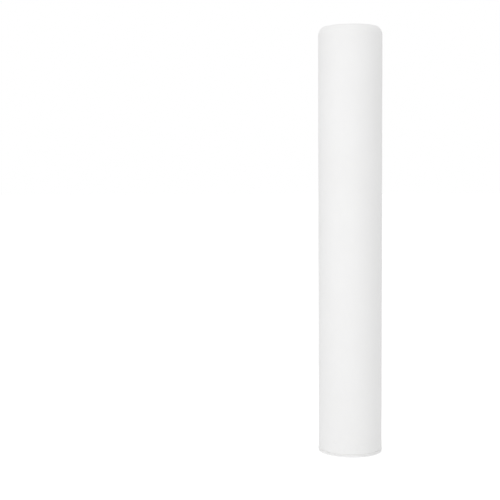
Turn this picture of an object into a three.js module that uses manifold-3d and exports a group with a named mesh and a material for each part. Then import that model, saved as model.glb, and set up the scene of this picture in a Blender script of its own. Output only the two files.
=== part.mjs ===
// Wrap-round safety pad for a round basketball pole: a tall foam sleeve in a smooth white vinyl cover.
// The sleeve is slit down the back. One third of it swings out on the cover to let the pole in, and a
// full-height flap with hook and loop tape holds the slit shut.
//
// Millimetres, +Z up. The origin is on the pole's axis, level with the base of the pad. The front faces
// -Y. Angles are in degrees and run from the front towards +X, so the slit lies at 180.

import * as THREE from "three";
import { mergeVertices } from "three/addons/utils/BufferGeometryUtils.js";
import Module from "manifold-3d";

const wasm = await Module();
wasm.setup();

// Pole and pad
const PAD_HEIGHT = 1220;
const POLE_RADIUS = 63.5;
const POLE_CLEARANCE = 0.5;
const WALL_THICKNESS = 27;
const SEAM_GAP = 0.3;

// Outer cover: round shoulder, inner roll and the skirt that is turned down into the bore
const COVER_THICKNESS = 1;
const SHOULDER_WIDTH = 19;
const SHOULDER_HEIGHT = 26;
const INNER_ROLL_HEIGHT = 12;
const SKIRT_LENGTH = 38;

// Inner lining, which the skirt laps over
const LINING_THICKNESS = 0.8;
const LINING_LAP = 20;

// Base: a vinyl ring with an upturned lip, and the piping sewn between that lip and the cover
const PANEL_THICKNESS = 1.2;
const PANEL_LIP_HEIGHT = 5.2;
const PANEL_CORNER_RADIUS = 1;
const PIPING_RADIUS = 1.45;
const PIPING_PROUD = 1.3;

// Slit down the back
const SLIT_GAP = 2;
const FACING_THICKNESS = 0.9;

// Hook and loop closure: a thin web is sewn to the swinging side and crosses the slit, and the stiffer
// flap is lapped over the web's far edge
const FLAP_THICKNESS = 1.2;
const FLAP_BOTTOM_MARGIN = 22;
const FLAP_TOP_MARGIN = 38;
const FLAP_SLIT_SETBACK = 3;
const FLAP_OVERHANG = 11;
const FLAP_CORNER_RADIUS = 18;
const WEB_THICKNESS = 1;
const WEB_SEAM_SETBACK = 18;
const WEB_FLAT_WIDTH = 4;
const WEB_LAP = 7;
const SEAM_STRIP_WIDTH = 12;
const LOOP_THICKNESS = 1.7;
const HOOK_THICKNESS = 1.5;
const TAPE_WIDTH = 40;
const TAPE_END_INSET = 14;
const BINDING_THICKNESS = 0.6;
const BINDING_WIDTH = 9;

// How far a cutting solid runs past what it cuts, and the least distance between two points of an outline
const OVERRUN = 6;
const SAME_POINT = 0.003;

// Angles, in degrees
const FRONT_SHELL_EDGE = 60;
const SLIT_ANGLE = 180;
const WRAP_OPEN_ANGLE = 75;
const FACET_ANGLE = 5;
const WEB_FACET_ANGLE = 2.5;
const LEAST_FACET_ANGLE = 0.5;

// Steps in each half of a rounded edge
const ROUND_STEPS = 3;

// Radii of the layers through the wall, from the pole outwards
const boreRadius = POLE_RADIUS + POLE_CLEARANCE;
const liningInnerRadius = boreRadius + COVER_THICKNESS + SEAM_GAP;
const liningOuterRadius = liningInnerRadius + LINING_THICKNESS;
const foamInnerRadius = liningOuterRadius + SEAM_GAP;
const outerRadius = boreRadius + WALL_THICKNESS;
const coverInnerRadius = outerRadius - COVER_THICKNESS;
const foamOuterRadius = coverInnerRadius - SEAM_GAP;
const crownRadius = outerRadius - SHOULDER_WIDTH;
const midWallRadius = (foamInnerRadius + foamOuterRadius) / 2;

// Radii of the layers of the closure, from the cover outwards
const loopInnerRadius = outerRadius + SEAM_GAP;
const loopOuterRadius = loopInnerRadius + LOOP_THICKNESS;
const hookInnerRadius = loopOuterRadius + SEAM_GAP;
const hookOuterRadius = hookInnerRadius + HOOK_THICKNESS;
const flapInnerRadius = hookOuterRadius + SEAM_GAP;
const flapOuterRadius = flapInnerRadius + FLAP_THICKNESS;
const webLowRadius = outerRadius + SEAM_GAP;
const webHighRadius = flapInnerRadius - SEAM_GAP - WEB_THICKNESS;
const flapHingeRadius = webLowRadius + WEB_THICKNESS;

// Heights
const linerBottom = PANEL_THICKNESS + SEAM_GAP;
const liningTop = PAD_HEIGHT - SKIRT_LENGTH + LINING_LAP;
const pipingHeight = PANEL_LIP_HEIGHT + SEAM_GAP + PIPING_RADIUS;
const coverBottom = pipingHeight + PIPING_RADIUS + SEAM_GAP;
const flapBottom = FLAP_BOTTOM_MARGIN;
const flapTop = PAD_HEIGHT - FLAP_TOP_MARGIN;
const tapeBottom = flapBottom + TAPE_END_INSET;
const tapeTop = flapTop - TAPE_END_INSET;

// The angle that an arc of this length takes up at this radius
function angleOf(length, radius) {
  return THREE.MathUtils.radToDeg(length / radius);
}

// Angles of the edges at the swinging third and at the slit
const halfJointAngle = angleOf(SEAM_GAP / 2, foamInnerRadius);
const halfSlitAngle = angleOf(SLIT_GAP / 2, outerRadius);
const facingAngle = angleOf(FACING_THICKNESS, midWallRadius);
const facingGapAngle = angleOf(SEAM_GAP, foamInnerRadius);
const pipingReach = PIPING_PROUD * Math.tan(THREE.MathUtils.degToRad(WRAP_OPEN_ANGLE / 2));
const pipingSetbackAngle = angleOf(pipingReach + SEAM_GAP, outerRadius);
const slitEdge = SLIT_ANGLE - halfSlitAngle;
const foamSlitEdge = slitEdge - facingAngle - facingGapAngle;

// Angles along the closure, from its seam on the swinging third to its free edge past the slit
const flapHingeAngle = SLIT_ANGLE - angleOf(WEB_SEAM_SETBACK, outerRadius);
const halfHingeGapAngle = angleOf(SEAM_GAP / 2, webLowRadius);
const seamStripEnd = flapHingeAngle - halfHingeGapAngle;
const seamStripStart = seamStripEnd - angleOf(SEAM_STRIP_WIDTH, webLowRadius);
const webStart = flapHingeAngle + halfHingeGapAngle;
const rampStart = webStart + angleOf(WEB_FLAT_WIDTH, webLowRadius);
const rampEnd = SLIT_ANGLE;
const flapStart = SLIT_ANGLE + angleOf(FLAP_SLIT_SETBACK, outerRadius);
const webEnd = flapStart + angleOf(WEB_LAP, webHighRadius);
const tapeStart = webEnd + angleOf(SEAM_GAP, loopInnerRadius);
const tapeEnd = tapeStart + angleOf(TAPE_WIDTH, loopInnerRadius);
const flapEnd = tapeEnd + angleOf(FLAP_OVERHANG, hookInnerRadius);

const vinyl = { color: 0xeff0ee, roughness: 0.5, metalness: 0 };
const vinylBack = { color: 0xdcdcd8, roughness: 0.8, metalness: 0 };
const foam = { color: 0xe9e4d2, roughness: 0.95, metalness: 0 };
const tape = { color: 0xe6e6e2, roughness: 0.9, metalness: 0 };

// A unit vector straight out from the pole at this angle
function outward(angle) {
  const radians = THREE.MathUtils.degToRad(angle);
  return new THREE.Vector3(Math.sin(radians), -Math.cos(radians), 0);
}

// The angles of a sweep's sections: its two ends and the round grid lines between them
function sectionAngles(start, end, step) {
  const angles = [start];
  let line = Math.ceil((start + LEAST_FACET_ANGLE) / step);
  while (line * step < end - LEAST_FACET_ANGLE) {
    angles.push(line * step);
    line += 1;
  }
  angles.push(end);
  return angles;
}

// The points of a closed outline, anticlockwise, with its first point given once
function outlinePoints(path) {
  const points = path.getPoints(ROUND_STEPS);
  if (points[0].distanceTo(points[points.length - 1]) < SAME_POINT) {
    points.pop();
  }
  return THREE.ShapeUtils.isClockWise(points) ? points.reverse() : points;
}

// Sweeps a closed outline of radius and height about the pole's axis, with a flat cap at each end
function sweepSector(path, start, end) {
  const outline = outlinePoints(path);
  const angles = sectionAngles(start, end, FACET_ANGLE);
  const count = outline.length;
  const positions = [];
  const triangles = [];
  for (const angle of angles) {
    const direction = outward(angle);
    for (const point of outline) {
      positions.push(point.x * direction.x, point.x * direction.y, point.y);
    }
  }
  for (let section = 0; section + 1 < angles.length; section += 1) {
    for (let corner = 0; corner < count; corner += 1) {
      const here = section * count + corner;
      const next = section * count + ((corner + 1) % count);
      triangles.push(here, here + count, next);
      triangles.push(next, here + count, next + count);
    }
  }
  const lastSection = (angles.length - 1) * count;
  for (const [a, b, c] of THREE.ShapeUtils.triangulateShape(outline, [])) {
    triangles.push(a, b, c);
    triangles.push(lastSection + a, lastSection + c, lastSection + b);
  }
  const geometry = new THREE.BufferGeometry();
  geometry.setAttribute("position", new THREE.Float32BufferAttribute(positions, 3));
  geometry.setIndex(triangles);
  return geometry;
}

function rectangleOutline(innerRadius, outerEdge, bottom, top) {
  const path = new THREE.Path();
  path.moveTo(innerRadius, bottom);
  path.lineTo(outerEdge, bottom);
  path.lineTo(outerEdge, top);
  path.lineTo(innerRadius, top);
  path.closePath();
  return path;
}

// The cover's section: up the outside, over the shoulder and the inner roll, down the skirt, and back
function coverOutline() {
  const shoulderBase = PAD_HEIGHT - SHOULDER_HEIGHT;
  const rollBase = PAD_HEIGHT - INNER_ROLL_HEIGHT;
  const rollWidth = crownRadius - boreRadius;
  const skirtBottom = PAD_HEIGHT - SKIRT_LENGTH;
  const t = COVER_THICKNESS;
  const path = new THREE.Path();
  path.moveTo(outerRadius, coverBottom);
  path.lineTo(outerRadius, shoulderBase);
  path.absellipse(crownRadius, shoulderBase, SHOULDER_WIDTH, SHOULDER_HEIGHT, 0, Math.PI / 2, false);
  path.absellipse(crownRadius, rollBase, rollWidth, INNER_ROLL_HEIGHT, Math.PI / 2, Math.PI, false);
  path.lineTo(boreRadius, skirtBottom);
  path.lineTo(boreRadius + t, skirtBottom);
  path.lineTo(boreRadius + t, rollBase);
  path.absellipse(crownRadius, rollBase, rollWidth - t, INNER_ROLL_HEIGHT - t, Math.PI, Math.PI / 2, true);
  path.absellipse(crownRadius, shoulderBase, SHOULDER_WIDTH - t, SHOULDER_HEIGHT - t, Math.PI / 2, 0, true);
  path.lineTo(coverInnerRadius, coverBottom);
  path.closePath();
  return path;
}

// The foam's section fills the cover with a seam gap all round
function foamOutline() {
  const shoulderBase = PAD_HEIGHT - SHOULDER_HEIGHT;
  const rollBase = PAD_HEIGHT - INNER_ROLL_HEIGHT;
  const foamTop = PAD_HEIGHT - COVER_THICKNESS - SEAM_GAP;
  const shoulderWidth = foamOuterRadius - crownRadius;
  const rollWidth = crownRadius - foamInnerRadius;
  const path = new THREE.Path();
  path.moveTo(foamOuterRadius, linerBottom);
  path.lineTo(foamOuterRadius, shoulderBase);
  path.absellipse(crownRadius, shoulderBase, shoulderWidth, foamTop - shoulderBase, 0, Math.PI / 2, false);
  path.absellipse(crownRadius, rollBase, rollWidth, foamTop - rollBase, Math.PI / 2, Math.PI, false);
  path.lineTo(foamInnerRadius, linerBottom);
  path.closePath();
  return path;
}

function panelOutline() {
  const cornerCentre = outerRadius - PANEL_CORNER_RADIUS;
  const path = new THREE.Path();
  path.moveTo(liningInnerRadius, 0);
  path.lineTo(cornerCentre, 0);
  path.absarc(cornerCentre, PANEL_CORNER_RADIUS, PANEL_CORNER_RADIUS, -Math.PI / 2, 0, false);
  path.lineTo(outerRadius, PANEL_LIP_HEIGHT);
  path.lineTo(coverInnerRadius, PANEL_LIP_HEIGHT);
  path.lineTo(coverInnerRadius, PANEL_THICKNESS);
  path.lineTo(liningInnerRadius, PANEL_THICKNESS);
  path.closePath();
  return path;
}

// The piping is a round bead with its back cut flat against the foam side of the seam
function pipingOutline() {
  const centre = outerRadius + PIPING_PROUD - PIPING_RADIUS;
  const flatAngle = Math.acos((coverInnerRadius - centre) / PIPING_RADIUS);
  const path = new THREE.Path();
  path.absarc(centre, pipingHeight, PIPING_RADIUS, -flatAngle, flatAngle, false);
  path.closePath();
  return path;
}

// The web lies low at its seam, then climbs to pass under the flap's edge. Its plan is drawn out along
// the inner face and back along the outer one.
function webGeometry() {
  const angles = sectionAngles(webStart, webEnd, WEB_FACET_ANGLE);
  const face = (reach) =>
    angles.map((angle) => {
      const climb = THREE.MathUtils.smoothstep(angle, rampStart, rampEnd);
      return outward(angle).multiplyScalar(THREE.MathUtils.lerp(webLowRadius, webHighRadius, climb) + reach);
    });
  const corners = [...face(0), ...face(WEB_THICKNESS).reverse()];
  const plan = new THREE.Shape(corners.map(({ x, y }) => new THREE.Vector2(x, y)));
  const geometry = new THREE.ExtrudeGeometry(plan, { depth: flapTop - flapBottom, bevelEnabled: false });
  geometry.translate(0, 0, flapBottom);
  return geometry;
}

// A geometry as a solid that can be joined and cut
function solidOf(geometry) {
  const bare = new THREE.BufferGeometry();
  bare.setAttribute("position", geometry.getAttribute("position"));
  bare.setIndex(geometry.getIndex());
  const merged = mergeVertices(bare);
  const mesh = new wasm.Mesh({
    numProp: 3,
    vertProperties: merged.getAttribute("position").array,
    triVerts: new Uint32Array(merged.getIndex().array),
  });
  return new wasm.Manifold(mesh);
}

function geometryOf(solid) {
  const mesh = solid.getMesh();
  const geometry = new THREE.BufferGeometry();
  geometry.setAttribute("position", new THREE.BufferAttribute(mesh.vertProperties, 3));
  geometry.setIndex(new THREE.BufferAttribute(mesh.triVerts, 1));
  return geometry;
}

// A block that takes a square corner off the flap and leaves a round one. side is 1 at the flap's
// bottom, where the block's height runs up, and -1 at its top.
function cornerCutter(edgeAngle, edgeHeight, radius, side) {
  const shape = new THREE.Shape();
  shape.moveTo(-OVERRUN, -OVERRUN);
  shape.lineTo(radius, -OVERRUN);
  shape.lineTo(radius, 0);
  shape.absarc(radius, radius, radius, -Math.PI / 2, -Math.PI, true);
  shape.lineTo(-OVERRUN, radius);
  shape.closePath();
  const options = { depth: 2 * OVERRUN, bevelEnabled: false, curveSegments: ROUND_STEPS * 2 };
  const geometry = new THREE.ExtrudeGeometry(shape, options);
  geometry.translate(0, 0, -OVERRUN);
  const alongFlap = outward(edgeAngle - 90);
  const up = new THREE.Vector3(0, 0, side);
  const through = new THREE.Vector3().crossVectors(alongFlap, up);
  const placed = new THREE.Matrix4().makeBasis(alongFlap, up, through);
  placed.setPosition(outward(edgeAngle).multiplyScalar(flapInnerRadius).setZ(edgeHeight));
  geometry.applyMatrix4(placed);
  return solidOf(geometry);
}

// The flap's own shape, with round corners at its free edge. It is thicker than the flap by faceReach on
// each face, and reaches past the flap's free edges by edgeReach.
function flapSheet(start, faceReach, edgeReach) {
  const end = flapEnd + angleOf(edgeReach, flapInnerRadius);
  const bottom = flapBottom - edgeReach;
  const top = flapTop + edgeReach;
  const section = rectangleOutline(flapInnerRadius - faceReach, flapOuterRadius + faceReach, bottom, top);
  const radius = FLAP_CORNER_RADIUS + edgeReach;
  return solidOf(sweepSector(section, start, end))
    .subtract(cornerCutter(end, bottom, radius, 1))
    .subtract(cornerCutter(end, top, radius, -1));
}

// The binding is a channel of thin vinyl folded over the flap's free edge, top and bottom
function bindingSolid() {
  const cutStart = tapeStart - angleOf(OVERRUN, flapInnerRadius);
  const outside = flapSheet(tapeStart, SEAM_GAP + BINDING_THICKNESS, SEAM_GAP + BINDING_THICKNESS);
  const inside = flapSheet(cutStart, SEAM_GAP, SEAM_GAP);
  const openFace = flapSheet(cutStart, OVERRUN / 2, -BINDING_WIDTH);
  return outside.subtract(inside).subtract(openFace);
}

const sleeve = new THREE.Group();

// A group that turns about an upright axis through the point given
function pivot(angle, radius) {
  const group = new THREE.Group();
  group.position.copy(outward(angle).multiplyScalar(radius));
  return group;
}

const swingingThird = pivot(FRONT_SHELL_EDGE, outerRadius);
const flapPivot = pivot(flapHingeAngle, flapHingeRadius);
flapPivot.position.sub(swingingThird.position);
swingingThird.add(flapPivot);
sleeve.add(swingingThird);

// Adds a named mesh to a group, in the part's own frame
function addPiece(group, name, geometry, look) {
  const mesh = new THREE.Mesh(geometry, new THREE.MeshStandardMaterial(look));
  mesh.name = name;
  group.updateWorldMatrix(true, false);
  mesh.position.setFromMatrixPosition(group.matrixWorld).negate();
  group.add(mesh);
}

// The parts of the sleeve that go round with it: the fixed two thirds and the swinging third
const fixedStart = -slitEdge;
const fixedEnd = FRONT_SHELL_EDGE - halfJointAngle;
const swingStart = FRONT_SHELL_EDGE + halfJointAngle;
const swingEnd = slitEdge;

function addWall(name, outline, look) {
  addPiece(sleeve, name, sweepSector(outline, fixedStart, fixedEnd), look);
  addPiece(swingingThird, `${name}_swing`, sweepSector(outline, swingStart, swingEnd), look);
}

addWall("outer_cover", coverOutline(), vinyl);
const liningOutline = rectangleOutline(liningInnerRadius, liningOuterRadius, linerBottom, liningTop);
addWall("inner_lining", liningOutline, vinylBack);
addWall("bottom_panel", panelOutline(), vinyl);

const pipingFixed = sweepSector(pipingOutline(), fixedStart, FRONT_SHELL_EDGE - pipingSetbackAngle);
const pipingSwing = sweepSector(pipingOutline(), FRONT_SHELL_EDGE + pipingSetbackAngle, swingEnd);
addPiece(sleeve, "bottom_piping", pipingFixed, vinyl);
addPiece(swingingThird, "bottom_piping_swing", pipingSwing, vinyl);

const core = foamOutline();
const leftCoreEnd = -FRONT_SHELL_EDGE - halfJointAngle;
addPiece(sleeve, "foam_core_left", sweepSector(core, -foamSlitEdge, leftCoreEnd), foam);
addPiece(sleeve, "foam_core_front", sweepSector(core, leftCoreEnd + 2 * halfJointAngle, fixedEnd), foam);
addPiece(swingingThird, "foam_core_right", sweepSector(core, swingStart, foamSlitEdge), foam);

addPiece(sleeve, "slit_facing_left", sweepSector(core, -slitEdge, -slitEdge + facingAngle), vinyl);
addPiece(swingingThird, "slit_facing_right", sweepSector(core, slitEdge - facingAngle, slitEdge), vinyl);

const loopStrip = rectangleOutline(loopInnerRadius, loopOuterRadius, tapeBottom, tapeTop);
const hookStrip = rectangleOutline(hookInnerRadius, hookOuterRadius, tapeBottom, tapeTop);
const seamStrip = rectangleOutline(webLowRadius, flapHingeRadius, flapBottom, flapTop);
addPiece(sleeve, "loop_tape", sweepSector(loopStrip, tapeStart, tapeEnd), tape);
addPiece(swingingThird, "flap_seam_strip", sweepSector(seamStrip, seamStripStart, seamStripEnd), vinyl);
addPiece(flapPivot, "flap_web", webGeometry(), vinyl);
addPiece(flapPivot, "closure_flap", geometryOf(flapSheet(flapStart, 0, 0)), vinyl);
addPiece(flapPivot, "hook_tape", sweepSector(hookStrip, tapeStart, tapeEnd), tape);
addPiece(flapPivot, "flap_binding", geometryOf(bindingSolid()), vinyl);

export default sleeve;
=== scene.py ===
# Looks of the wrap-round basketball pole pad: the smooth white vinyl cover, its lining, base and piping,
# the foam inside, and the hook and loop flap behind.
#
# Metres, +Z up. The origin is on the pole's axis, level with the base of the pad. The front faces -Y.
# Angles are in degrees and run from the front towards +X, so the slit lies at 180.

import math
from bisect import bisect_right
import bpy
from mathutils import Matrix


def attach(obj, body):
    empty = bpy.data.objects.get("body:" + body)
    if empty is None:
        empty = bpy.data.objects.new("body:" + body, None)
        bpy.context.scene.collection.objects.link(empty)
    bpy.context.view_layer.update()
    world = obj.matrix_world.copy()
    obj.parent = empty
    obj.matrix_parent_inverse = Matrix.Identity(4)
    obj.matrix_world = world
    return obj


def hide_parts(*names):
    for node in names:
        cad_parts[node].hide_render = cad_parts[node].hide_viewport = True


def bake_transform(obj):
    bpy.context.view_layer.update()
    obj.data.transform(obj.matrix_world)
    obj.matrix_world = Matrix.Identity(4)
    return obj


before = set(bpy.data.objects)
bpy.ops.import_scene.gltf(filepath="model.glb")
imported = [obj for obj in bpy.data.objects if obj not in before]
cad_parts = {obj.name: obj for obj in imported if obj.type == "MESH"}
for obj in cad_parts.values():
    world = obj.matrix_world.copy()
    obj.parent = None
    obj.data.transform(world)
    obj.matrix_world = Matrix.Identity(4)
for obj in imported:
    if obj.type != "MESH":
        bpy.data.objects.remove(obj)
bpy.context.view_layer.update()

from types import SimpleNamespace

import bpy
import bmesh
from mathutils import Matrix, Vector, noise

# Camera, fitted to the pad's outline in the photograph
CAMERA_DISTANCE = 3.228
CAMERA_HEIGHT = 0.825
CAMERA_YAW = -5.126
CAMERA_PITCH = 4.244
CAMERA_ROLL = -0.364
SENSOR_WIDTH = 36
LENS = 80.59

# Cover
COVER_THICKNESS = 0.001
SHOULDER_WIDTH = 0.019
SHOULDER_HEIGHT = 0.026
INNER_ROLL_HEIGHT = 0.012
SKIRT_LENGTH = 0.038
FOOT_BAND = 0.06
FOAM_SWELL = 0.0004
FOAM_SWELL_LENGTH = 0.11
SEAM_DIP = 0.0003
SEAM_DIP_REACH = 0.003
SEAM_PUCKER = 0.0002
SEAM_PUCKER_REACH = 0.008
SEAM_PUCKER_COUNT = 46
EDGE_DROP = 0.0006
EDGE_ROUND = 0.0025

# Cloth at rest: how much wider it was cut than it is sewn, and how far its folds may go
FOOT_SLACK = 0.006
FOOT_LIMITS = (-0.0003, 0.0004)
ROLL_SLACK = 0.01
ROLL_LIMITS = (-0.0004, 0.0007)
LINING_SLACK = 0.01
LINING_LIMITS = (-0.0001, 0.0011)
LINING_TOP_HOLD = 0.045
CLOTH_BENDING = 20
CLOTH_QUALITY = 5
CLOTH_FRAMES = 20
FOAM_HOLD = 0.35
SLIT_FADE = 8
CLOTH_SEED = 0.00006
CLOTH_SEED_LENGTH = 0.011

# Base and piping
PANEL_THICKNESS = 0.0012
PANEL_CORNER_RADIUS = 0.001
LIP_PUCKER = 0.00012
LIP_PUCKER_REACH = 0.002
PIPING_RADIUS = 0.00145
PIPING_SIDES = 14
PIPING_RIPPLE = 0.03
PIPING_RIPPLE_COUNT = 90

# The slit's facings
FACING_FULLNESS = 0.00035
FACING_FULL_FROM = 0.007
FACING_SEAM_DIP = 0.0003
FACING_SEAM_REACH = 0.0012
FACING_WAVE = 0.00012
FACING_WAVES_ACROSS = 60
FACING_WAVES_UP = 30

# Closure
SEAM_GAP = 0.0003
WEB_THICKNESS = 0.001
WEB_FLAT_WIDTH = 0.004
FLAP_CORNER_RADIUS = 0.018
BINDING_THICKNESS = 0.0006
BINDING_WIDTH = 0.009
TAPE_SELVEDGE = 0.0025
TAPE_BACKING = 0.0009
PILE_NAP = 0.00035
TUFT_SCALE = 330
HOOK_PITCH = 0.003
HOOK_WIDTH = 0.0007
# A hook's sections from its root: how far out and along it lies, in the hook's height, and its girth
HOOK_SHAPE = ((-0.15, 0, 1.2), (0.55, 0.05, 0.9), (1, 0.45, 0.7))
HOOK_TIP = (0.72, 0.95)
GROOVE_DEPTH = 0.00022
GROOVE_WIDTH = 0.0016
FLAP_PILLOW = 0.0004
FLAP_PILLOW_EDGE = 0.012
FLAP_RIPPLE = 0.0003
FLAP_RIPPLE_LENGTH = 0.045
FLAP_RIPPLE_WIDTH = 0.03
FLAP_EDGE_FADE = 0.008
BINDING_WAVE = 0.00012
BINDING_WAVE_SCALE = 40
BINDING_FOLD = 0.0009
BINDING_INNER_FOLD = 0.0003
BINDING_STEP = 0.006
BINDING_TURN = 7.5
BINDING_MAP_STEP = 0.5

# Stitching
THREAD_RADIUS = 0.0003
THREAD_SIDES = 5
STITCH_LENGTH = 0.0037
# A stitch's sections: how far along in half its length, and its rise and girth in the thread's radius
STITCH_SHAPE = ((-0.55, 0.15, 0.85), (0, 0.4, 1), (0.55, 0.15, 0.85))
THREAD_LAY = 0.0006
STITCH_PITCH = 0.0042
LAP_ROW_INSETS = (0.0022, 0.0048)
STRIP_ROW_INSETS = (0.0025, 0.0085)
TAPE_ROW_INSET = 0.0013
BINDING_ROW_INSET = 0.0066
HEM_ROW_RISE = 0.005
SLIT_ROW_INSET = 0.005
SLIT_ROW_START = 0.014
TAPE_ROW_MARGIN = 0.002
# The skirt's folds fade out between these two distances above its hem's stitches
HEM_FLAT_FROM = 0.0085
HEM_FLAT_TO = 0.001

# Angles and steps
SPLIT_ANGLE = -75
FOAM_SEAM = 60
SHARP_ANGLE = 38
ROW_END_MARGIN = 1
EDGE_SHARES = (0.12, 0.32, 0.6, 1)
WALL_STEP = 1.25
FOAM_STEP = 2.5
WALL_ROW = 0.012
SEAM_ROW = 0.00175
FOLD_ROW = 0.0035
FOOT_CLOTH_ROW = 0.004
LINING_ROW = 0.018
BASE_ROW = 0.004
LIP_ROW = 0.0014
FOAM_ROW = 0.1
TAPE_BACK_ROW = 0.02
SHEET_STEP = 0.0012
SHEET_ROW = 0.012
PILE_STEP = 0.0022
ARC_STEPS = 14
FOAM_ARC_STEPS = 8
FLAP_CORNER_ROWS = 6

# Uneven forms: crests of the noise round a circle of radius 1, how it is spread out, and places in it
NOISE_CRESTS = 3.2
RIPPLE_GAIN = 1.6
TUFT_GAIN = 1.5
FLAP_NOISE_PLACE = 2.5
BINDING_NOISE_PLACE = 7

# How far the flap's bend reaches before and after its own hinge
FLAP_BEND_BEFORE = 0.003
FLAP_BEND_AFTER = 0.005

# Patterns of the materials: how often each repeats in a metre, its depth, and how high up scuffs reach
TONE_SCALE = 7
SCUFF_SCALE = 55
SCUFF_HEIGHT = 0.09
RUB_SCALE = 140
SHEEN_SCALE = 24
PEBBLE_SCALE = 620
PEBBLE_DEPTH = 0.00014
FINE_GRAIN_SCALE = 2600
FINE_GRAIN_DEPTH = 0.00004
CREASE_SCALE = 38
CREASE_DEPTH = 0.0007
WEAVE_WEAR_SCALE = 30
FIBRE_SCALE = 1800
FIBRE_DEPTH = 0.00008
PORE_SCALE = 700
PORE_DEPTH = 0.0007
FOAM_ROUGH_SCALE = 420
FOAM_ROUGH_DEPTH = 0.0006
TWIST_DEPTH = 0.0001

# Light and ground
WORLD_LEVEL = 0.752
LAMP_AIM = 0.7
# Each lamp's angle round the pad, its distance from the pad's axis, height, size and watts
LAMPS = {
    "left_lamp": (-40, 4, 0.85, 1.6, 18.6),
    "front_lamp": (5, 4, 0.85, 1.6, 19.2),
    "overhead_lamp": (-12, 0.6, 4.5, 2, 16.4),
}
GROUND_HALF_SIZE = 30
GROUND_WHITE = 0.9
GROUND_GLOW = 0.36


def angle_of(point):
    return math.degrees(math.atan2(point.x, -point.y))


def arc(angle, radius):
    """The length of an arc."""
    return math.radians(angle) * radius


def span(node):
    """How far a CAD node reaches: radii and heights in metres, and angles in degrees from 0 to 360."""
    points = [vertex.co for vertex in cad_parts[node].data.vertices]
    radii = [math.hypot(point.x, point.y) for point in points]
    angles = [angle_of(point) % 360 for point in points]
    return SimpleNamespace(
        inner=min(radii),
        outer=max(radii),
        start=min(angles),
        end=max(angles),
        bottom=min(point.z for point in points),
        top=max(point.z for point in points),
    )


cover = span("outer_cover")
lining = span("inner_lining")
panel = span("bottom_panel")
piping = span("bottom_piping")
foam = span("foam_core_right")
facing = span("slit_facing_right")
loops = span("loop_tape")
hooks = span("hook_tape")
strip = span("flap_seam_strip")
web = span("flap_web")
flap = span("closure_flap")
slit_edge = span("outer_cover_swing").end
joint_edge = foam.start
flap_inner = hooks.outer + SEAM_GAP
flap_width = arc(flap.end - flap.start, flap_inner)
crown_radius = cover.outer - SHOULDER_WIDTH


def degrees_of(length, radius):
    """The angle that an arc of this length takes up."""
    return math.degrees(length / radius)


def outward(angle):
    turn = math.radians(angle)
    return Vector((math.sin(turn), -math.cos(turn), 0))


def place(angle, radius, height):
    return outward(angle) * radius + Vector((0, 0, height))


def along(angle):
    """The direction round the pad, towards larger angles."""
    turn = math.radians(angle)
    return Vector((math.cos(turn), math.sin(turn), 0))


def spaced(start, end, step):
    """Evenly spaced values from start to end, no more than step apart."""
    count = max(1, math.ceil(abs(end - start) / step))
    return [start + (end - start) * i / count for i in range(count + 1)]


def joined(*runs):
    """Runs of values one after the other, where each starts at the last value of the one before."""
    values = list(runs[0])
    for run in runs[1:]:
        values += run[1:]
    return values


def smooth(low, high, value):
    share = min(1, max(0, (value - low) / (high - low)))
    return share * share * (3 - 2 * share)


def fade(distance, reach):
    """1 at a seam, and less and less away from it."""
    return math.exp(-max(0, distance) / reach)


def full_noise(point, gain):
    """Noise that is spread out by gain, and cut off at -1 and 1."""
    return max(-1, min(1, gain * noise.noise(point)))


def ripple(angle, count):
    """An uneven wave with about count crests round the pad, from -1 to 1."""
    return full_noise(outward(angle) * (count / NOISE_CRESTS), RIPPLE_GAIN)


def groove(distance, rows):
    """1 on a row of stitches, and less and less away from it."""
    return min(1, sum(math.exp(-(((distance - row) / GROOVE_WIDTH) ** 2)) for row in rows))


def add_object(name, data):
    added = bpy.data.objects.new(name, data)
    bpy.context.scene.collection.objects.link(added)
    return added


# Materials


def new_material(name):
    material = bpy.data.materials.new(name)
    material.use_nodes = True
    return material, material.node_tree


def add(tree, kind, inputs=None, **settings):
    """Adds a node to a material's or a world's tree. inputs holds values or sockets by their names."""
    node = tree.nodes.new(kind)
    for name, value in settings.items():
        setattr(node, name, value)
    for name, value in (inputs or {}).items():
        wire(tree, node.inputs[name], value)
    return node


def wire(tree, socket, value):
    if isinstance(value, bpy.types.NodeSocket):
        tree.links.new(value, socket)
    else:
        socket.default_value = value


def dress(tree, **inputs):
    """Sets the shader's inputs by their names, which have an underscore here for each space."""
    bsdf = tree.nodes["Principled BSDF"]
    for name, value in inputs.items():
        wire(tree, bsdf.inputs[name.replace("_", " ")], value)


def grey(level, warmth=0):
    return (level, level - warmth / 3, level - warmth, 1)


def in_space(tree):
    return add(tree, "ShaderNodeTexCoord").outputs["Object"]


def on_surface(tree):
    """Metres on the piece's own surface map, so that a pattern moves with the cloth."""
    return add(tree, "ShaderNodeUVMap", uv_map="surface").outputs["UV"]


def noise_of(tree, scale, detail):
    """Noise with about so many patches a metre."""
    inputs = {"Vector": on_surface(tree), "Scale": scale, "Detail": detail}
    return add(tree, "ShaderNodeTexNoise", inputs).outputs["Fac"]


def cells_of(tree, scale):
    inputs = {"Vector": on_surface(tree), "Scale": scale}
    return add(tree, "ShaderNodeTexVoronoi", inputs).outputs["Distance"]


def ranged(tree, value, low, high, to_low, to_high):
    inputs = {"Value": value, "From Min": low, "From Max": high, "To Min": to_low, "To Max": to_high}
    return add(tree, "ShaderNodeMapRange", inputs).outputs["Result"]


def blended_colour(tree, factor, first, second):
    node = add(tree, "ShaderNodeMix", data_type="RGBA")
    for index, value in ((0, factor), (6, first), (7, second)):
        wire(tree, node.inputs[index], value)
    return node.outputs[2]


def maths(tree, operation, *values):
    node = add(tree, "ShaderNodeMath", operation=operation)
    for socket, value in zip(node.inputs, values):
        wire(tree, socket, value)
    return node.outputs[0]


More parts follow.
